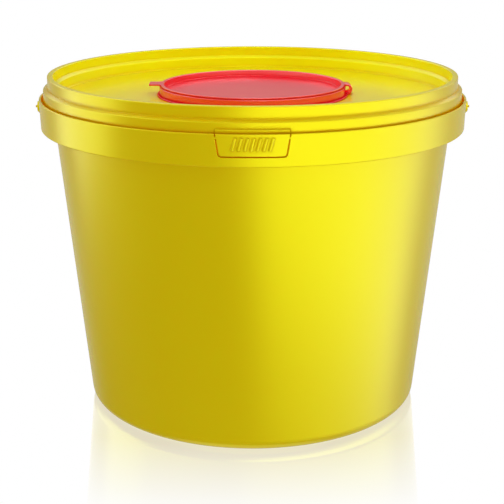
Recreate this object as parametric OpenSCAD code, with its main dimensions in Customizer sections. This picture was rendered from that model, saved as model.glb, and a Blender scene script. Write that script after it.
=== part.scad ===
// Medical waste bucket: a round, tapered pail with a tamper-evident collar, a press-on lid
// with a sunk deck, a flip-top closure in the middle of the deck, and a carrying bail.
// Origin: centre of the foot, on the floor. +Z is up, the tear-off tab faces -Y,
// the closure opens from -X and is hinged at +X.

/* [Fits] */
// Free gap between faces that move past each other
free_gap = 0.3; // [0.2:0.05:0.4]

/* [Bucket] */
// Outer radius of the wall where its cone would meet the floor
base_r = 107; // [96:0.5:112]
// Outer radius of the wall's cone at the rim
rim_r = 127; // [122:0.5:140]
// Height of the rim above the floor
rim_z = 203.4; // [150:1:260]
// Thickness of the wall
wall = 1.6; // [1.2:0.1:2.4]
// Thickness of the floor
floor_t = 1.8; // [1.2:0.1:3]
// Outer radius of the rounding between wall and floor
base_corner_r = 8; // [4:0.5:14]
// Width of the ring that the bucket stands on
foot_w = 7; // [4:0.5:12]
// How far the floor is raised inside the foot ring
foot_h = 1.2; // [0.6:0.1:3]
// How far the bead under the rim stands out from the wall
rim_bead = 1.5; // [0.8:0.1:1.8]
// Height of the bead under the rim
rim_bead_h = 3.4; // [2:0.1:4.5]

/* [Collar] */
// Radial gap between the lid's skirt and the collar at its top
channel_w = 1.45; // [1.3:0.05:2.5]
// Thickness of the collar
collar_wall = 1.4; // [1:0.1:2.2]
// Height of the collar
collar_h = 18.2; // [17:0.1:26]
// How far the collar's top lies below the rim
collar_drop = 5; // [3.5:0.1:8]
// How much smaller the collar's radius is at its bottom than at its top
collar_draft = 0.6; // [0:0.05:1.2]
// Height of the web's upper side above the collar's bottom edge
web_up = 3.3; // [2:0.1:4]
// Thickness of the web that carries the collar
web_t = 1.4; // [1:0.1:2]
// Half angle between the two stiffening ribs beside each ear
ear_rib_a = 14; // [8:1:24]
// Thickness of a stiffening rib
ear_rib_t = 1.4; // [1:0.1:2.4]

/* [Tear-off tab] */
// Width of the tab at the collar's top
tab_top_w = 40; // [30:0.5:50]
// Width of the tab at its bottom
tab_bottom_w = 36; // [26:0.5:40]
// Height of the tab
tab_h = 12.1; // [9:0.1:13]
// Radius of the tab's lower corners
tab_corner_r = 1.6; // [1:0.1:5]
// Width of the slit round the tab
slit_w = 0.7; // [0.4:0.05:1.2]
// Height of each of the two bridges that hold the tab
bridge_h = 1.1; // [0.6:0.1:2]
// Distance from the collar's top down to the bridges
bridge_drop = 1.6; // [0.8:0.1:3]
// Number of raised grip bars on the tab
grip_bars = 7; // [3:1:9]
// Height of a grip bar
grip_bar_h = 7.2; // [4:0.1:8]
// Distance between grip bars
grip_bar_pitch = 3.4; // [2.6:0.1:3.8]
// Width of a grip bar
grip_bar_w = 1.9; // [1.4:0.1:2.4]
// How far a grip bar leans over its height
grip_bar_lean = 2; // [0:0.1:3]
// How far a grip bar stands out from the tab
grip_bar_t = 0.6; // [0.3:0.05:0.8]

/* [Lid] */
// Thickness of the lid
lid_wall = 1.3; // [1:0.1:1.6]
// Radial gap between the lid's snap bead and the rim's bead
snap_gap = 0.5; // [0.3:0.05:0.6]
// How far the lid's snap bead stands in from the skirt
snap_bead = 1; // [0.5:0.05:1.2]
// Radial gap between the lid's plug wall and the bucket's wall
plug_gap = 0.4; // [0.3:0.05:0.8]
// Height of the stacking ring above the rim
ring_up = 9; // [6:0.5:14]
// Width of the sloped shoulder inside the stacking ring
inner_shoulder_w = 1.85; // [1.4:0.05:2.1]
// Height of the sloped shoulder inside the stacking ring
inner_shoulder_h = 1.5; // [1:0.1:2.5]
// Width of the sloped shoulder outside the stacking ring
outer_shoulder_w = 2.8; // [2.2:0.05:3.2]
// Height of the sloped shoulder outside the stacking ring
outer_shoulder_h = 1.3; // [1:0.1:2.5]
// How much wider the skirt is at its bottom edge
skirt_flare = 0.2; // [0:0.05:0.4]
// How far the skirt reaches down behind the collar
skirt_reach = 4.2; // [3:0.1:4.3]
// How far the deck lies below the rim
deck_drop = 5.2; // [4:0.1:8]
// Thickness of the deck
deck_t = 1.4; // [1:0.1:2.2]
// How far the lug behind the tab rises above the collar
lug_up = 2.4; // [1:0.1:3.5]

/* [Closure] */
// Radius of the closure's mouth
mouth_r = 57.3; // [40:0.5:70]
// Wall of the closure's base ring
closure_wall = 1.6; // [1.2:0.1:2.4]
// Width of the flange that lies on the deck
flange_w = 1.5; // [1:0.1:3]
// Thickness of the flange
flange_t = 0.8; // [0.6:0.1:1.4]
// Radial gap between the base ring's spigot and the hole in the deck
spigot_gap = 0.3; // [0.2:0.05:0.5]
// How far the spigot's snap bead reaches under the deck
spigot_bead = 0.6; // [0.4:0.1:1]
// Height of the closed closure above the deck
closure_h = 7; // [6:0.25:9]
// Thickness of the cap's rim
cap_rim_t = 1; // [0.8:0.1:1.4]
// Height of the parting gap between cap and base ring
parting = 0.3; // [0.2:0.05:0.5]
// How far the cap's rim is set back from the base ring
cap_setback = 0.7; // [0.3:0.1:1]
// Radial gap between the cap's plug and the mouth
cap_gap = 0.3; // [0.2:0.05:0.5]
// Thickness of the cap's plug wall
cap_wall = 1.05; // [0.8:0.05:1.6]
// Depth of the recess in the cap
cap_depth = 4; // [2.5:0.1:4.4]
// Thickness of the cap's disc
cap_disc_t = 1.2; // [0.8:0.1:1.8]
// Length of the pull tab beyond the cap's rim
pull_l = 7.1; // [5:0.1:11]
// Width of the pull tab
pull_w = 12; // [8:0.5:20]
// Radius of the fillets where the pull tab meets the rim
pull_fillet_r = 3; // [1:0.25:5]
// Height of the hinge strap's lowest point above the deck
strap_lift = 0.4; // [0.2:0.1:0.8]
// Width of the hinge strap
strap_w = 10.5; // [6:0.5:14]
// Thickness of the hinge strap
strap_t = 1.35; // [1:0.05:1.6]
// How far the hinge strap stands out from the base ring
strap_out = 4.1; // [3.6:0.1:5]

/* [Handle] */
// Distance from the collar's top down to the handle's pivots
pivot_drop = 8.1; // [8:0.1:9.5]
// Radius of the pivot pins
pin_r = 2.4; // [1.8:0.1:3]
// Running gap round the pivot pins
pin_gap = 0.08; // [0.05:0.01:0.1]
// How far the heads inside the collar stand out round the pins
pin_head = 1; // [0.6:0.1:1]
// Thickness of the heads inside the collar
pin_head_t = 1.2; // [0.8:0.1:2]
// Radial gap between the handle and the collar
bail_gap = 0.8; // [0.6:0.1:2]
// Thickness of the handle's strap
bail_t = 1.8; // [1.4:0.1:3]
// Width of the handle's strap
bail_w = 6.8; // [6:0.2:10]
// Radius of the pip in the middle of each eye
pip_r = 0.7; // [0.4:0.1:1.2]
// Height of the pip
pip_h = 1.35; // [0.4:0.05:1.5]
// Length of the grip
grip_l = 96; // [70:2:120]
// Width of the grip
grip_w = 16; // [12:0.5:20]
// Thickness of the grip
grip_t = 5; // [4:0.25:7]
// Wall of the hollow grip
grip_wall = 1.6; // [1.2:0.1:2]
// Number of pockets along the grip
grip_cells = 7; // [3:1:10]
// Gap between the hanging grip and the bucket's wall
rest_gap = 0.3; // [0.2:0.1:1]

/* [Hidden] */
yellow = [0.93, 0.87, 0.09];
red = [0.88, 0.16, 0.17];
turn_fn = 180;
small_fn = 48;
eps = 0.01;

// Bucket: the wall is a plain cone from base_r on the floor to rim_r at the rim
taper = (rim_r - base_r) / rim_z;
function wall_r(z) = base_r + taper * z;
rim_bead_r = rim_r + rim_bead;
rim_fillet_r = 0.35;

// Lid: its skirt is worked out from the rim's bead, its plug wall from the bucket's inside
snap_r = rim_bead_r + snap_gap;
skirt_in_r = snap_r + snap_bead;
skirt_out_r = skirt_in_r + lid_wall;
ring_out_r = skirt_out_r - outer_shoulder_w;
deck_z = rim_z - deck_drop;
plug_r = wall_r(deck_z - deck_t) - wall - plug_gap;
well_r = plug_r - lid_wall;
ring_in_r = well_r + inner_shoulder_w;
ring_z = rim_z + ring_up;
outer_shoulder_z = rim_z + 0.7;
inner_shoulder_z = rim_z + lid_wall - 0.1;

// Collar, from the skirt outwards
collar_z = rim_z - collar_drop;
collar_low_z = collar_z - collar_h;
collar_in_r = skirt_out_r + channel_w;
collar_out_r = collar_in_r + collar_wall;
function collar_shift(z) = collar_draft * (collar_z - z) / collar_h;
function collar_in(z) = collar_in_r - collar_shift(z);
function collar_out(z) = collar_out_r - collar_shift(z);
web_z = collar_low_z + web_up;
skirt_z = collar_z - skirt_reach;
skirt_low_r = skirt_out_r + skirt_flare;
rib_in_r = skirt_low_r + free_gap;
rib_out_r = collar_in_r + (collar_wall - collar_draft) / 2;

// Closure
ring_wall_r = mouth_r + closure_wall;
flange_r = ring_wall_r + flange_w;
ring_fillet_r = 0.3;
spigot_r = ring_wall_r - 0.4;
deck_hole_r = spigot_r + spigot_gap;
spigot_low_z = deck_z - deck_t - 1.4;
cap_z = deck_z + closure_h;
closure_ring_z = cap_z - cap_rim_t - parting;
cap_r = ring_wall_r - cap_setback;
plug_cap_r = mouth_r - cap_gap;
recess_r = plug_cap_r - cap_wall;
cap_disc_z = cap_z - cap_depth;

// Handle: it hangs behind the bucket at the angle where the grip would meet the wall
pivot_z = collar_z - pivot_drop;
bail_in_r = collar_out_r + bail_gap;
bail_out_r = bail_in_r + bail_t;
stop_a = bail_in_r + taper * grip_w / 2;
stop_b = taper * bail_in_r - grip_w / 2;
stop_c = base_r + taper * pivot_z + rest_gap;
hang_a = atan2(stop_b, stop_a) + acos(stop_c / norm([stop_a, stop_b]));
eye_in_x = collar_out_r + free_gap;
head_r = pin_r + pin_head;
head_out_x = collar_in(pivot_z - head_r) - free_gap;
head_in_x = head_out_x - pin_head_t;

function unit(v) = v / norm(v);
function turn(a, b) = (b - a + 540) % 360 - 180;

// Arc of radius r (less where the edges are short) in the corner b between a and c
function arc_in_corner(a, b, c, r) =
    let (u = unit(a - b), v = unit(c - b))
    let (half = acos(max(-1, min(1, u * v))) / 2)
    let (cut = min(r / tan(half), 0.48 * norm(a - b), 0.48 * norm(c - b)))
    let (arc_r = cut * tan(half), centre = b + unit(u + v) * arc_r / sin(half))
    let (from = b + u * cut - centre, to = b + v * cut - centre)
    let (start = atan2(from.y, from.x), sweep = turn(start, atan2(to.y, to.x)))
    let (steps = ceil(2 + arc_r))
    [for (i = [0:steps]) centre + arc_r * [cos(start + sweep * i / steps), sin(start + sweep * i / steps)]];

// Outline whose corners are given as [x, y, radius]; the radius may be left out
function rounded(points) =
    let (n = len(points), flat = [for (p = points) [p.x, p.y]])
    [for (i = [0:n - 1])
        each len(points[i]) < 3
            ? [flat[i]]
            : arc_in_corner(flat[(i + n - 1) % n], flat[i], flat[(i + 1) % n], points[i].z)];

module turned(profile) {
    rotate_extrude($fn = turn_fn) polygon(rounded(profile));
}

// Wall, floor, foot ring and rim
function pail_profile() = [
    [0, foot_h],
    [wall_r(0) - base_corner_r - foot_w - foot_h, foot_h, 0.6],
    [wall_r(0) - base_corner_r - foot_w, 0, 0.4],
    [wall_r(0), 0, base_corner_r],
    [wall_r(rim_z - rim_bead_h - rim_bead), rim_z - rim_bead_h - rim_bead, 0.4],
    [rim_bead_r, rim_z - rim_bead_h, 0.3],
    [rim_bead_r, rim_z - rim_bead, 0.5],
    [rim_r, rim_z, rim_fillet_r],
    [rim_r - wall, rim_z, rim_fillet_r],
    [wall_r(foot_h + floor_t) - wall, foot_h + floor_t, base_corner_r - wall],
    [0, foot_h + floor_t]
];

// Collar, and the web that joins it to the wall
function collar_profile() = [
    [wall_r(web_z) - wall / 2, web_z - web_t],
    [collar_in(web_z - web_t), web_z - web_t, 0.6],
    [collar_in(collar_low_z), collar_low_z, 0.4],
    [collar_out(collar_low_z), collar_low_z, 0.5],
    [collar_out_r, collar_z, 0.4],
    [collar_in_r, collar_z, 0.35],
    [collar_in(web_z), web_z, 0.8],
    [wall_r(web_z) - wall / 2, web_z]
];

// Outline of the tab seen from the front, grown by g on its sides and bottom
function tab_outline(g) = rounded([
    [-tab_top_w / 2 - g, collar_z + 1],
    [-tab_top_w / 2 - g, collar_z],
    [-tab_bottom_w / 2 - g, collar_z - tab_h - g, tab_corner_r + g],
    [tab_bottom_w / 2 + g, collar_z - tab_h - g, tab_corner_r + g],
    [tab_top_w / 2 + g, collar_z],
    [tab_top_w / 2 + g, collar_z + 1]
]);

// Carries an outline of the front view through the collar alone
module through_collar() {
    translate([0, -rim_bead_r, 0]) rotate([90, 0, 0]) linear_extrude(collar_out_r - rim_bead_r + 3) children();
}

module tab_slit() {
    through_collar() difference() {
        polygon(tab_outline(slit_w));
        polygon(tab_outline(0));
        for (side = [-1, 1])
            translate([side * tab_top_w / 2, collar_z - bridge_drop - bridge_h / 2])
                square([8 * slit_w, bridge_h], center = true);
    }
}

// Slanted half-round bars that give the thumb a hold on the tab
module tab_grip() {
    middle_z = collar_z - tab_h / 2 + 0.6;
    bar_r = (grip_bar_t ^ 2 + (grip_bar_w / 2) ^ 2) / (2 * grip_bar_t);
    tilt = [atan(collar_draft / collar_h), 0, 0];
    lean = [0, atan(grip_bar_lean / grip_bar_h), 0];
    intersection() {
        turned([
            [collar_in_r + collar_wall / 2, collar_z - tab_h],
            [collar_out_r + 2 * grip_bar_t, collar_z - tab_h],
            [collar_out_r + 2 * grip_bar_t, collar_z],
            [collar_in_r + collar_wall / 2, collar_z]
        ]);
        for (i = [0:grip_bars - 1])
            rotate([0, 0, (i - (grip_bars - 1) / 2) * grip_bar_pitch * 180 / (PI * collar_out_r)])
                translate([0, bar_r - grip_bar_t - collar_out(middle_z), middle_z])
                    rotate(tilt) rotate(lean) cylinder(h = grip_bar_h, r = bar_r, center = true, $fn = small_fn);
    }
}

// Two ribs beside each ear stiffen the collar and centre the lid's skirt
module ear_ribs() {
    for (side = [0, 180], a = [-ear_rib_a, ear_rib_a])
        rotate([0, 0, side + a])
            translate([rib_in_r, -ear_rib_t / 2, web_z - web_t / 2])
                cube([rib_out_r - rib_in_r, ear_rib_t, collar_z - web_z + web_t / 2]);
}

module bucket() {
    color(yellow) difference() {
        union() {
            turned(pail_profile());
            turned(collar_profile());
            ear_ribs();
            tab_grip();
        }
        tab_slit();
        for (side = [0, 180])
            rotate([0, 0, side])
                translate([rib_in_r - 0.2, 0, pivot_z])
                    rotate([0, 90, 0]) cylinder(h = collar_wall + channel_w + 2, r = pin_r + pin_gap, $fn = small_fn);
    }
}

// Deck, plug wall, seat on the rim, stacking ring, shoulders and skirt in one section
function lid_profile() = [
    [deck_hole_r, deck_z - deck_t, 0.2],
    [plug_r, deck_z - deck_t, 0.7],
    [plug_r, rim_z, 0.2],
    [ring_in_r + lid_wall, rim_z, 0.2],
    [ring_in_r + lid_wall, ring_z - lid_wall, 0.3],
    [ring_out_r - lid_wall, ring_z - lid_wall, 0.3],
    [ring_out_r - lid_wall, outer_shoulder_z + outer_shoulder_h - 0.7, 0.4],
    [skirt_in_r, outer_shoulder_z - 0.6, 0.4],
    [skirt_in_r, rim_z - rim_bead_h - 1, 0.2],
    [snap_r, rim_z - rim_bead_h - 1.8, 0.3],
    [snap_r, rim_z - rim_bead_h - 2.4, 0.3],
    [skirt_in_r, rim_z - rim_bead_h - 3.6, 0.3],
    [skirt_low_r - lid_wall, skirt_z, 0.35],
    [skirt_low_r, skirt_z, 0.4],
    [skirt_out_r, outer_shoulder_z, 0.5],
    [ring_out_r, outer_shoulder_z + outer_shoulder_h, 0.5],
    [ring_out_r, ring_z, 0.5],
    [ring_in_r, ring_z, 0.5],
    [ring_in_r, inner_shoulder_z + inner_shoulder_h + 0.2, 0.5],
    [well_r, inner_shoulder_z, 0.5],
    [well_r, deck_z, 1.2],
    [deck_hole_r, deck_z, 0.3]
];

// Lug on the skirt behind the tab: the tab's removal bares it, and the lid is lifted by it
module lid_lug() {
    lug_r = collar_in_r - 0.4;
    lug_low_r = collar_in(skirt_z) - 0.4;
    lug_z = collar_z + lug_up;
    lug_w = tab_top_w + 0.4;
    intersection() {
        turned([
            [skirt_in_r + lid_wall / 3, skirt_z + 0.5],
            [lug_low_r, skirt_z + 0.5, 0.3],
            [lug_r, lug_z - 0.5, 0.4],
            [skirt_out_r, lug_z],
            [skirt_in_r + lid_wall / 3, lug_z]
        ]);
        linear_extrude(ring_z)
            polygon([
                [-lug_w / 2, -skirt_in_r + 4],
                [-lug_w / 2, -skirt_out_r + 1],
                [-lug_w / 2 + 0.6, -lug_r - 0.5],
                [lug_w / 2 - 0.6, -lug_r - 0.5],
                [lug_w / 2, -skirt_out_r + 1],
                [lug_w / 2, -skirt_in_r + 4]
            ]);
    }
}

module lid() {
    color(yellow) {
        turned(lid_profile());
        lid_lug();
    }
}

// Base ring of the closure: flange on the deck, upright wall, and a spigot snapped through it
module closure_ring() {
    color(red) turned([
        [mouth_r, spigot_low_z, 0.2],
        [spigot_r, spigot_low_z, 0.3],
        [deck_hole_r + spigot_bead, deck_z - deck_t - 0.6, 0.2],
        [deck_hole_r + spigot_bead, deck_z - deck_t],
        [spigot_r, deck_z - deck_t],
        [spigot_r, deck_z],
        [flange_r, deck_z],
        [flange_r, deck_z + flange_t, 0.3],
        [ring_wall_r, deck_z + flange_t, ring_fillet_r],
        [ring_wall_r, closure_ring_z, 0.35],
        [mouth_r, closure_ring_z, 0.25]
    ]);
}

// Section of the hinge strap, seen along the hinge: a loop from the flange up to the cap's rim
module strap_section() {
    loop_r = (closure_h - strap_lift) / 2;
    loop_x = ring_wall_r + strap_out - loop_r;
    loop_z = cap_z - loop_r;
    difference() {
        union() {
            translate([loop_x, loop_z]) circle(loop_r, $fn = small_fn);
            translate([ring_wall_r - 0.3, loop_z - loop_r]) square([loop_x - ring_wall_r + 0.3, 2 * loop_r]);
        }
        translate([loop_x, loop_z]) circle(loop_r - strap_t, $fn = small_fn);
        translate([ring_wall_r - 4, loop_z - loop_r + strap_t])
            square([loop_x - ring_wall_r + 4, 2 * (loop_r - strap_t)]);
    }
}

module hinge_strap() {
    color(red) difference() {
        translate([0, strap_w / 2, 0]) rotate([90, 0, 0]) linear_extrude(strap_w) strap_section();
        translate([0, 0, deck_z - 1]) cylinder(h = flange_t + 1, r = flange_r, $fn = turn_fn);
        translate([0, 0, deck_z - 1])
            cylinder(h = closure_ring_z - deck_z + 1, r = ring_wall_r + ring_fillet_r, $fn = turn_fn);
        translate([0, 0, deck_z]) cylinder(h = closure_h + 1, r = cap_r + 1.5 * free_gap, $fn = turn_fn);
    }
}

module closure_cap() {
    tab_x = cap_r + pull_l;
    color(red) {
        turned([
            [0, cap_disc_z - cap_disc_t],
            [plug_cap_r - 0.4, cap_disc_z - cap_disc_t, 0.8],
            [plug_cap_r, cap_z - cap_rim_t, 0.15],
            [cap_r, cap_z - cap_rim_t, 0.2],
            [cap_r, cap_z, 0.3],
            [recess_r, cap_z, 0.3],
            [recess_r - 0.4, cap_disc_z, 0.9],
            [0, cap_disc_z]
        ]);
        translate([0, 0, cap_z - cap_rim_t]) linear_extrude(cap_rim_t)
            polygon(rounded([
                [-tab_x, -pull_w / 2, 0.8],
                [-tab_x, pull_w / 2, 0.8],
                [-cap_r + 0.2, pull_w / 2, pull_fillet_r],
                [-cap_r + 2, pull_w / 2 + 7],
                [-recess_r - 0.6, 0],
                [-cap_r + 2, -pull_w / 2 - 7],
                [-cap_r + 0.2, -pull_w / 2, pull_fillet_r]
            ]));
    }
}

// Strap of the handle with round eyes, pins through the collar and heads inside it
module handle_eye() {
    rotate([0, 90, 0]) {
        translate([0, 0, eye_in_x]) cylinder(h = bail_out_r - eye_in_x, r = bail_w / 2, $fn = small_fn);
        translate([0, 0, head_in_x]) cylinder(h = head_out_x - head_in_x, r = head_r, $fn = small_fn);
        translate([0, 0, head_out_x - eps]) cylinder(h = eye_in_x - head_out_x + 2 * eps, r = pin_r, $fn = small_fn);
        translate([0, 0, bail_out_r - eps]) cylinder(h = pip_h + eps, r = pip_r, $fn = small_fn);
    }
}

// Outline of the grip seen from above, widening from the strap's width
function grip_outline() = rounded([
    [-grip_l / 2 - 10, -bail_w / 2, 6],
    [-grip_l / 2 + 4, -grip_w / 2, 6],
    [grip_l / 2 - 4, -grip_w / 2, 6],
    [grip_l / 2 + 10, -bail_w / 2, 6],
    [grip_l / 2 + 10, bail_w / 2, 6],
    [grip_l / 2 - 4, grip_w / 2, 6],
    [-grip_l / 2 + 4, grip_w / 2, 6],
    [-grip_l / 2 - 10, bail_w / 2, 6]
]);

module handle_grip() {
    inner_l = grip_l - 12;
    cell_l = (inner_l - (grip_cells - 1) * grip_wall) / grip_cells;
    difference() {
        intersection() {
            rotate_extrude(angle = 180, $fn = turn_fn)
                polygon(rounded([
                    [bail_in_r, -grip_w / 2, 0.8],
                    [bail_in_r + grip_t, -grip_w / 2, 0.8],
                    [bail_in_r + grip_t, grip_w / 2, 0.8],
                    [bail_in_r, grip_w / 2, 0.8]
                ]));
            translate([0, bail_in_r + 2 * grip_t, 0]) rotate([90, 0, 0])
                linear_extrude(bail_in_r) polygon(grip_outline());
        }
        difference() {
            for (i = [0:grip_cells - 1])
                translate([-inner_l / 2 + i * (cell_l + grip_wall), bail_in_r / 2, -grip_w / 2 + grip_wall])
                    cube([cell_l, bail_in_r, grip_w - 2 * grip_wall]);
            translate([0, 0, -grip_w]) cylinder(h = 2 * grip_w, r = bail_in_r + grip_wall, $fn = turn_fn);
        }
    }
}

module handle() {
    color(yellow) translate([0, 0, pivot_z]) rotate([-hang_a, 0, 0]) {
        rotate_extrude(angle = 180, $fn = turn_fn)
            polygon(rounded([
                [bail_in_r, -bail_w / 2, 0.5],
                [bail_out_r, -bail_w / 2, 0.5],
                [bail_out_r, bail_w / 2, 0.5],
                [bail_in_r, bail_w / 2, 0.5]
            ]));
        handle_grip();
        handle_eye();
        mirror([1, 0, 0]) handle_eye();
    }
}

bucket();
lid();
closure_ring();
hinge_strap();
closure_cap();
handle();
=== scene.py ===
"""Medical waste bucket: yellow pail with collar and tear-off tab, pressed-on lid, red flip-top
closure in the lid's deck, and a carrying bail that hangs behind. Metres, +Z up, the tab faces -Y."""

import math

import bpy
import numpy as np
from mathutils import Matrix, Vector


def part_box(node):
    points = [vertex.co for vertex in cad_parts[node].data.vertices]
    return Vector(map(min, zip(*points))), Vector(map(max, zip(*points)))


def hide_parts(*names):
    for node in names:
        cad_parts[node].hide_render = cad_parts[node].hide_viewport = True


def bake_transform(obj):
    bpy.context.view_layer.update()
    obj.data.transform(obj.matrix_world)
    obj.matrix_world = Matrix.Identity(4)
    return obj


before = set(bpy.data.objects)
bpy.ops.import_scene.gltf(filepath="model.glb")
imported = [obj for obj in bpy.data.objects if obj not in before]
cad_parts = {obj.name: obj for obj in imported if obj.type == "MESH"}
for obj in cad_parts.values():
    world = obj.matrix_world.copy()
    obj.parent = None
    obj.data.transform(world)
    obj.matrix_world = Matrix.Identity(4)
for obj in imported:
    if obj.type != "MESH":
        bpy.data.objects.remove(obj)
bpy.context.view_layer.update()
scene = bpy.context.scene
scene.view_settings.view_transform = "Standard"


# Bucket: one injection moulding of yellow polypropylene, wall, foot ring, collar and tear-off tab.
# It has a satin gloss, a fine grain from the mould and some light scattered under its surface.
# Its colour carries painted light: lighter on faces turned to the axis, painted shade in the
# corners, and a painted orange glow in the narrow slits of the collar.
IOR = 1.857
SHINE = 0.89
ROUGHNESS, ROUGHNESS_SPREAD = 0.20, 0.03
CLOUD_SCALE, CLOUD_DETAIL = 25.0, 3.0
GRAIN_SCALE, GRAIN_DETAIL, GRAIN_DEPTH = 900.0, 2.0, 0.0002
EDGE_ROUND, EDGE_RAYS = 0.0004, 4
# Painted light: between these levels of x nx + y ny, faces turned to the axis fade to a lighter colour
TURNED_IN, TURNED_OUT = -0.06, 0.04
# Painted shade: in corners where an occlusion test finds little light, a darker colour and less gloss
CORNER_REACH, SLIT_REACH, CORNER_RAYS = 0.0022, 0.012, 8
DEEP_CORNER, CORNER_GLOSS_SHADE, OPEN_FACE = 0.45, 0.8, 1.0
# Painted glow: slits that an occlusion test finds dark shine orange, up to the last value
DEEP_SLIT, OPEN_SLIT, PAINTED_SLIT_GLOW = 0.02, 0.20, 0.3
SCATTER_SHARE, SCATTER_REACH, SCATTER_DEPTH = 0.3, (1.0, 0.3, 0.03), 0.001


def node(tree, kind, *values, **named):
    """A new shader node. Values fill its sockets in their order, named ones fill the socket of that
    name, with _ for a space, or the setting of that name. A socket of another node is linked."""
    made = tree.nodes.new(kind)
    made.location = (220 * len(tree.nodes), 0)
    for name in [name for name in named if hasattr(made, name)]:
        setattr(made, name, named.pop(name))
    pairs = list(zip(made.inputs, values))
    pairs += [(made.inputs[name.replace("_", " ")], value) for name, value in named.items()]
    for socket, value in pairs:
        if isinstance(value, bpy.types.NodeSocket):
            tree.links.new(value, socket)
        else:
            socket.default_value = value
    return made


def blank_material(name):
    """A material without nodes, and its node tree."""
    material = bpy.data.materials.new(name)
    material.use_nodes = True
    material.node_tree.nodes.clear()
    return material, material.node_tree


def span(tree, value, low, high, to_low=0.0, to_high=1.0):
    """Straight line through (low, to_low) and (high, to_high), held at its ends."""
    line = node(
        tree, "ShaderNodeMapRange", Value=value, From_Min=low, From_Max=high, To_Min=to_low, To_Max=to_high
    )
    return line.outputs["Result"]


def blend_colour(tree, part, first, second):
    """first * (1 - part) + second * part. The Mix node takes its colours in sockets 6 and 7, and
    gives the result in output 2."""
    made = node(tree, "ShaderNodeMix", data_type="RGBA")
    for k, value in ((0, part), (6, first), (7, second)):
        if isinstance(value, bpy.types.NodeSocket):
            tree.links.new(value, made.inputs[k])
        else:
            made.inputs[k].default_value = (*value, 1.0)
    return made.outputs[2]


def plastic(name, colour, inside_painted_light, corner_shade, slit_glow, gloss, grain):
    """Moulded plastic with painted light. On faces turned to the bucket's axis, where x nx + y ny
    is below 0, its colour goes to a second colour, painted light that is lighter on the yellow;
    where little light reaches within CORNER_REACH it goes to a painted shade colour and its gloss
    is painted down too; and in slits that are dark within SLIT_REACH a painted glow shines."""
    material, tree = blank_material(name)
    texture = node(tree, "ShaderNodeTexCoord")
    place = texture.outputs["Object"]
    fine = node(tree, "ShaderNodeTexNoise", Vector=place, Scale=GRAIN_SCALE, Detail=GRAIN_DETAIL)
    edge_round = node(tree, "ShaderNodeBevel", samples=EDGE_RAYS, Radius=EDGE_ROUND)
    bump = node(
        tree,
        "ShaderNodeBump",
        Strength=grain,
        Distance=GRAIN_DEPTH,
        Height=fine.outputs["Fac"],
        Normal=edge_round.outputs["Normal"],
    )
    cloud = node(tree, "ShaderNodeTexNoise", Vector=place, Scale=CLOUD_SCALE, Detail=CLOUD_DETAIL)
    # Painted light: faces turned to the bucket's axis take a lighter colour, standing in for light inside
    # the lid
    level = node(tree, "ShaderNodeVectorMath", place, (1.0, 1.0, 0.0), operation="MULTIPLY").outputs[0]
    turned = node(tree, "ShaderNodeVectorMath", level, texture.outputs["Normal"], operation="DOT_PRODUCT")
    outer = span(tree, turned.outputs["Value"], TURNED_IN, TURNED_OUT)
    # Painted shade: a short occlusion test darkens the colour and lowers the gloss in corners
    near = node(tree, "ShaderNodeAmbientOcclusion", samples=CORNER_RAYS, Distance=CORNER_REACH).outputs["AO"]
    # Painted glow: a wider occlusion test makes dark slits shine orange
    wide = node(tree, "ShaderNodeAmbientOcclusion", samples=CORNER_RAYS, Distance=SLIT_REACH).outputs["AO"]
    face_with_painted_light = blend_colour(tree, outer, inside_painted_light, colour)
    smoothest, roughest = ROUGHNESS - ROUGHNESS_SPREAD, ROUGHNESS + ROUGHNESS_SPREAD
    # Base colour with painted light and painted shade, gloss with painted shade, emission a painted glow
    shader = node(
        tree,
        "ShaderNodeBsdfPrincipled",
        Base_Color=blend_colour(tree, span(tree, near, DEEP_CORNER, OPEN_FACE), corner_shade, face_with_painted_light),
        Roughness=span(tree, cloud.outputs["Fac"], 0.0, 1.0, smoothest, roughest),
        IOR=IOR,
        Normal=bump.outputs["Normal"],
        Specular_IOR_Level=span(tree, near, CORNER_GLOSS_SHADE, OPEN_FACE, 0.0, SHINE),
        Specular_Tint=(*gloss, 1.0),
        Subsurface_Weight=SCATTER_SHARE,
        Subsurface_Radius=SCATTER_REACH,
        Subsurface_Scale=SCATTER_DEPTH,
        Emission_Color=(*slit_glow, 1.0),
        Emission_Strength=span(tree, wide, DEEP_SLIT, OPEN_SLIT, PAINTED_SLIT_GLOW, 0.0),
    )
    node(tree, "ShaderNodeOutputMaterial", Surface=shader.outputs["BSDF"])
    return material


def dress(name, material):
    """Gives the CAD node of this name its one material."""
    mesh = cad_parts[name].data
    mesh.materials.clear()
    mesh.materials.append(material)


yellow = plastic(
    "yellow_plastic",
    colour=(0.98, 0.70, 0.002),
    # painted light: a lighter colour for faces turned to the axis
    inside_painted_light=(0.99, 0.88, 0.003),
    # painted shade for corners
    corner_shade=(0.60, 0.32, 0.0005),
    # painted glow for the slits
    slit_glow=(1.0, 0.29, 0.0),
    gloss=(0.86, 1.0, 0.02),
    grain=0.03,
)
dress("bucket", yellow)


# Lid: one moulding of the same yellow plastic. Its skirt is pressed into the channel behind the
# collar, and its deck is sunk inside a ring that takes the foot of the next bucket in a stack.
dress("lid", yellow)


# Base ring of the closure: red polypropylene, moulded in one with the strap and the cap, and
# pushed through the hole in the deck until its bead sits underneath.
red = plastic(
    "red_plastic",
    colour=(0.95, 0.008, 0.022),
    inside_painted_light=(0.95, 0.008, 0.022),
    # painted shade for corners
    corner_shade=(0.70, 0.003, 0.006),
    # painted glow for the slits
    slit_glow=(0.8, 0.0, 0.0),
    gloss=(1.0, 0.6, 0.65),
    grain=0.02,
)
dress("closure_ring", red)


# Cap of the closure: the same red moulding, with a sunk disc, a plug that closes the base ring and
# a tab on the left to pull it open.
dress("closure_cap", red)


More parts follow.
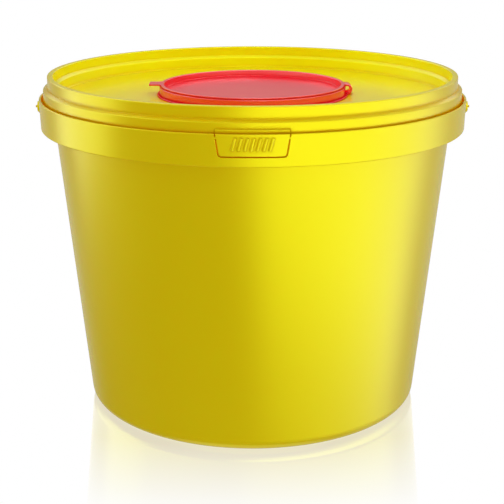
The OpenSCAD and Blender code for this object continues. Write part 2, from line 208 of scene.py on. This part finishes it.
# Hinge strap: a band moulded with the base ring and the cap, bent into a loop beside the closure.
# Its lower end stays with the ring, and its upper end folds over as the cap opens.
STRAP_T = 0.00135
STRAP_EDGE_R = 0.0003
SECTION_STEP = 10
LOWER_STEPS, BEND_STEPS, UPPER_STEPS = 4, 32, 8
RING_WALL_X = 0.0586
CAP_EDGE_X = 0.0579


def swept_band(path, half_w, thickness, edge_r):
    """A closed band along path, which is (x, z) points: each ring is a rectangle with round corners,
    y = +-(half_w - r) + r cos t across and +-(thickness / 2 - r) + r sin t along the path's normal."""
    along = np.gradient(path, axis=0)
    along /= np.linalg.norm(along, axis=1)[:, None]
    outward = np.stack([along[:, 1], -along[:, 0]], -1)
    t = np.radians(np.arange(SECTION_STEP / 2, 360, SECTION_STEP))
    across = np.sign(np.cos(t)) * (half_w - edge_r) + edge_r * np.cos(t)
    over = np.sign(np.sin(t)) * (thickness / 2 - edge_r) + edge_r * np.sin(t)
    places = path[:, None, :] + outward[:, None, :] * over[None, :, None]
    points = np.stack([places[..., 0], np.broadcast_to(across, places.shape[:2]), places[..., 1]], -1)
    index = np.arange(len(path) * len(t)).reshape(len(path), len(t))
    turned = np.roll(index, -1, 1)
    quads = np.stack([index[:-1], index[1:], turned[1:], turned[:-1]], -1).reshape(-1, 4)
    return points.reshape(-1, 3), quads.tolist() + [index[0].tolist(), index[-1, ::-1].tolist()]


lowest, highest = (np.array(v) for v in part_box("hinge_strap"))
bend_r = (highest[2] - lowest[2] - STRAP_T) / 2
bend_x = highest[0] - STRAP_T / 2 - bend_r
bend_z = (highest[2] + lowest[2]) / 2
bend = np.radians(np.linspace(-90, 90, BEND_STEPS + 1))
lower_x = np.linspace(RING_WALL_X, bend_x, LOWER_STEPS + 1)[:-1]
upper_x = np.linspace(bend_x, CAP_EDGE_X, UPPER_STEPS + 1)[1:]
strap_path = np.concatenate([
    np.stack([lower_x, np.full(LOWER_STEPS, bend_z - bend_r)], -1),
    np.stack([bend_x + bend_r * np.cos(bend), bend_z + bend_r * np.sin(bend)], -1),
    np.stack([upper_x, np.full(UPPER_STEPS, bend_z + bend_r)], -1),
])
strap_points, strap_faces = swept_band(strap_path, highest[1], STRAP_T, STRAP_EDGE_R)
strap_mesh = bpy.data.meshes.new("strap")
strap_mesh.from_pydata(strap_points.tolist(), [], strap_faces)
strap_mesh.shade_smooth()
strap_mesh.materials.append(red)
strap = bpy.data.objects.new("strap", strap_mesh)
scene.collection.objects.link(strap)
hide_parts("hinge_strap")
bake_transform(strap)


# Carrying bail: one yellow moulding with a ribbed grip. Its pins turn in the holes of the collar,
# and it hangs behind the bucket.
dress("handle", yellow)


# Camera: in front of the bucket and a little above it, solved from the ellipses of the lid, collar
# and base in the photograph. Pixels are those of its 504 x 504 frame.
PHOTO_W = 504.0
SENSOR_W = 36.0
EYE = (0.0, -0.769875, 0.324168)
PITCH = math.radians(16.72)
FOCAL_PX = 1216.63
CENTRE_X_PX, CENTRE_Y_PX = 252.56, 252.50

camera_data = bpy.data.cameras.new("camera")
camera_data.sensor_width = SENSOR_W
camera_data.lens = FOCAL_PX / PHOTO_W * SENSOR_W
camera_data.shift_x = -(CENTRE_X_PX - PHOTO_W / 2) / PHOTO_W
camera_data.shift_y = (CENTRE_Y_PX - PHOTO_W / 2) / PHOTO_W
camera_data.clip_start, camera_data.clip_end = 0.01, 50.0
camera = bpy.data.objects.new("camera", camera_data)
camera.location = EYE
camera.rotation_euler = (math.pi / 2 - PITCH, 0.0, 0.0)
scene.collection.objects.link(camera)
scene.camera = camera


# Floor: a white sheet that only the camera sees, and only from above. It glows evenly, and before
# the bucket it adds a mirror image of it, which goes from MIRROR to 0 as the distance d from the
# axis grows, d^2 = y^2 + 0.3 x^2, and ends at the sides and behind the axis.
FLOOR_HALF = 8.0
MIRROR, MIRROR_ROUGHNESS = 0.46, 0.03
FADE_START, FADE_END = 0.098, 0.188
SQUEEZE = (0.3**0.5, 1.0, 0.0)
SIDE_START, SIDE_END = 0.115, 0.135
BACK_START, BACK_END = 0.02, 0.05

floor_corners = [(x * FLOOR_HALF, y * FLOOR_HALF, 0) for x, y in ((-1, -1), (1, -1), (1, 1), (-1, 1))]
floor_mesh = bpy.data.meshes.new("floor")
floor_mesh.from_pydata(floor_corners, [], [(0, 1, 2, 3)])
floor = bpy.data.objects.new("floor", floor_mesh)
floor.visible_diffuse = floor.visible_glossy = floor.visible_shadow = floor.visible_transmission = False
scene.collection.objects.link(floor)
floor_material, tree = blank_material("floor")
spot = node(tree, "ShaderNodeTexCoord").outputs["Object"]
squeezed = node(tree, "ShaderNodeVectorMath", spot, SQUEEZE, operation="MULTIPLY").outputs[0]
distance = node(tree, "ShaderNodeVectorMath", squeezed, operation="LENGTH").outputs["Value"]
axes = node(tree, "ShaderNodeSeparateXYZ", spot)
size_x = node(tree, "ShaderNodeMath", axes.outputs["X"], operation="ABSOLUTE").outputs[0]
beside = span(tree, size_x, SIDE_START, SIDE_END, 1.0, 0.0)
before = span(tree, axes.outputs["Y"], BACK_START, BACK_END, 1.0, 0.0)
zone = node(tree, "ShaderNodeMath", beside, before, operation="MULTIPLY").outputs[0]
fade = span(tree, distance, FADE_START, FADE_END, MIRROR, 0.0)
mirror = node(tree, "ShaderNodeMath", fade, zone, operation="MULTIPLY").outputs[0]
rest = node(tree, "ShaderNodeMath", 1.0, mirror, operation="SUBTRACT").outputs[0]
white = node(tree, "ShaderNodeEmission", Color=(1, 1, 1, 1), Strength=rest)
image = node(tree, "ShaderNodeBsdfGlossy", Color=mirror, Roughness=MIRROR_ROUGHNESS)
both = node(tree, "ShaderNodeAddShader", white.outputs[0], image.outputs[0])
from_below = node(tree, "ShaderNodeNewGeometry").outputs["Backfacing"]
clear = node(tree, "ShaderNodeBsdfTransparent")
one_way = node(tree, "ShaderNodeMixShader", from_below, both.outputs[0], clear.outputs[0])
node(tree, "ShaderNodeOutputMaterial", one_way.outputs[0])
floor_mesh.materials.append(floor_material)


# World: the white backdrop of a light tent. The camera sees it plain white, and everything else
# gets an even soft light from it.
EVEN_LIGHT = 0.61
world = bpy.data.worlds.new("world")
scene.world = world
world.use_nodes = True
tree = world.node_tree
tree.nodes.clear()
seen = node(tree, "ShaderNodeLightPath").outputs["Is Camera Ray"]
sky = node(tree, "ShaderNodeBackground", (1, 1, 1, 1), span(tree, seen, 0.0, 1.0, EVEN_LIGHT, 1.0))
node(tree, "ShaderNodeOutputWorld", sky.outputs[0])


# Lamp over the lid: a small square soft lamp on the bucket's axis. It lights the deck, the closure
# and the inside of the wall round them, and leaves no highlight.
LAMP_POWER, LAMP_SIDE, LAMP_Z = 0.12, 0.06, 0.43
lamp_data = bpy.data.lights.new("lid_lamp", "AREA")
lamp_data.energy = LAMP_POWER
lamp_data.size = LAMP_SIDE
lamp_data.specular_factor = 0
lamp = bpy.data.objects.new("lid_lamp", lamp_data)
lamp.location = (0.0, 0.0, LAMP_Z)
scene.collection.objects.link(lamp)


# Studio dome: what the gloss of the plastic mirrors, an even backdrop with soft boxes on both sides
# of the camera. Its brightness is a function of azimuth, 0 in front and 90 on the right, and of
# elevation, both in degrees.
DOME_R = 5.0
AZIMUTH_STEP, ELEVATION_STEP = 2.0, 1.0
BACKDROP = 0.10
BOX_TOP, BOX_TOP_SOFT = 60, 16
BELT, BELT_LEFT = 0.8, 1.7
BELT_LOW, BELT_HIGH, BELT_ROUND = 3, 17, 140
OVERHEAD, OVERHEAD_FROM = 1.25, 17
UNDERNEATH, UNDERNEATH_FROM = 0.8, 64
ON_FLOOR = 0.0005

azimuth, elevation = np.meshgrid(
    np.arange(-180.0, 180.0, AZIMUTH_STEP), np.arange(-90.0 + ELEVATION_STEP, 90.0, ELEVATION_STEP)
)


def edge(x, at, soft):
    """0 below at and 1 above it: 3 t^2 - 2 t^3 with t = (x - at) / soft + 1/2, held to 0..1."""
    t = np.clip((x - at) / soft + 0.5, 0, 1)
    return t * t * (3 - 2 * t)


def soft_box(bright, left, right, under, left_lean=0.0, right_lean=0.0):
    """A bright area between the azimuths left and right and above the elevation under, each given
    with its softness: the product of their edges. A lean moves a side by so many degrees for each
    degree below -10."""
    drop = np.maximum(0, -10 - elevation)
    from_left = edge(azimuth, left[0] + left_lean * drop, left[1])
    from_right = edge(-azimuth, -right[0] - right_lean * drop, right[1])
    return bright * from_left * from_right * edge(elevation, *under)


# On the right: a large box from the camera round to the side, with softer layers over it
boxes = soft_box(1.46, (-7, 26), (114, 34), (-29.5, 14), left_lean=0.7)
boxes += soft_box(0.84, (-7, 50), (87, 50), (-29.5, 14), left_lean=0.7)
boxes += soft_box(0.88, (6, 80), (112, 44), (-48, 24), left_lean=0.5)
boxes += soft_box(0.40, (-7, 20), (40, 80), (-17, 10))
boxes += soft_box(0.16, (-46, 50), (132, 40), (-60, 20))
# On the left: a narrow bright box, with a faint layer round it
boxes += soft_box(2.0, (-122, 22), (-77, 24), (-15.2, 8), right_lean=-1.4)
boxes += soft_box(0.31, (-130, 34), (-65, 40), (-22, 14))
# All round, and on both sides at the back, with less straight behind
boxes += 0.12 * edge(elevation, -21, 14)
boxes += 0.33 * (edge(azimuth, 120, 30) + edge(-azimuth, 138, 40))
boxes -= 0.24 * edge(np.abs(azimuth), 150, 30) * edge(elevation, 4, 8)
glow = BACKDROP + boxes * edge(-elevation, -BOX_TOP, BOX_TOP_SOFT)
# The belt just above the horizon is brighter on the left
low_light = BELT + BELT_LEFT * edge(-azimuth, 50, 110) * edge(azimuth, -BELT_ROUND, 20)
belt = edge(elevation, BELT_LOW, 6) * edge(-elevation, -BELT_HIGH, 2)
belt *= edge(-np.abs(azimuth), -BELT_ROUND, 20)
glow += belt * (low_light - glow)
glow = np.maximum(glow, OVERHEAD * edge(elevation, OVERHEAD_FROM, 2))
glow = np.maximum(glow, UNDERNEATH * edge(-elevation, UNDERNEATH_FROM, 16))

level, turn = np.radians(elevation), np.radians(azimuth)
dome_points = np.stack([np.sin(turn) * np.cos(level), -np.cos(turn) * np.cos(level), np.sin(level)], -1)
index = np.arange(azimuth.size).reshape(azimuth.shape)
turned = np.roll(index, -1, 1)
dome_faces = np.stack([index[:-1], turned[:-1], turned[1:], index[1:]], -1).reshape(-1, 4).tolist()
dome_faces += [index[0, ::-1].tolist(), index[-1].tolist()]
dome_mesh = bpy.data.meshes.new("studio_dome")
dome_mesh.from_pydata((DOME_R * dome_points).reshape(-1, 3).tolist(), [], dome_faces)
dome_glow = dome_mesh.attributes.new("glow", "FLOAT", "POINT")
dome_glow.data.foreach_set("value", glow.astype(np.float32).ravel())
dome = bpy.data.objects.new("studio_dome", dome_mesh)
dome.visible_camera = dome.visible_diffuse = dome.visible_shadow = False
scene.collection.objects.link(dome)
dome_material, tree = blank_material("studio_dome")
dome_material.cycles.emission_sampling = "NONE"
read = node(tree, "ShaderNodeAttribute", attribute_name="glow")
# A ray that starts on the floor sees plain white here, so that the floor mirrors only the bucket.
# Its start is the place where it hits the dome, plus its length times the direction back.
ray = node(tree, "ShaderNodeNewGeometry")
length = node(tree, "ShaderNodeLightPath").outputs["Ray Length"]
back = node(tree, "ShaderNodeVectorMath", ray.outputs["Incoming"], Scale=length, operation="SCALE")
start = node(tree, "ShaderNodeVectorMath", ray.outputs["Position"], back.outputs[0], operation="ADD")
height = node(tree, "ShaderNodeSeparateXYZ", start.outputs[0]).outputs["Z"]
on_floor = node(tree, "ShaderNodeMath", height, ON_FLOOR, operation="LESS_THAN").outputs[0]
strength = span(tree, on_floor, 0.0, 1.0, read.outputs["Fac"], 1.0)
light = node(tree, "ShaderNodeEmission", Color=(1, 1, 1, 1), Strength=strength)
node(tree, "ShaderNodeOutputMaterial", light.outputs[0])
dome_mesh.materials.append(dome_material)
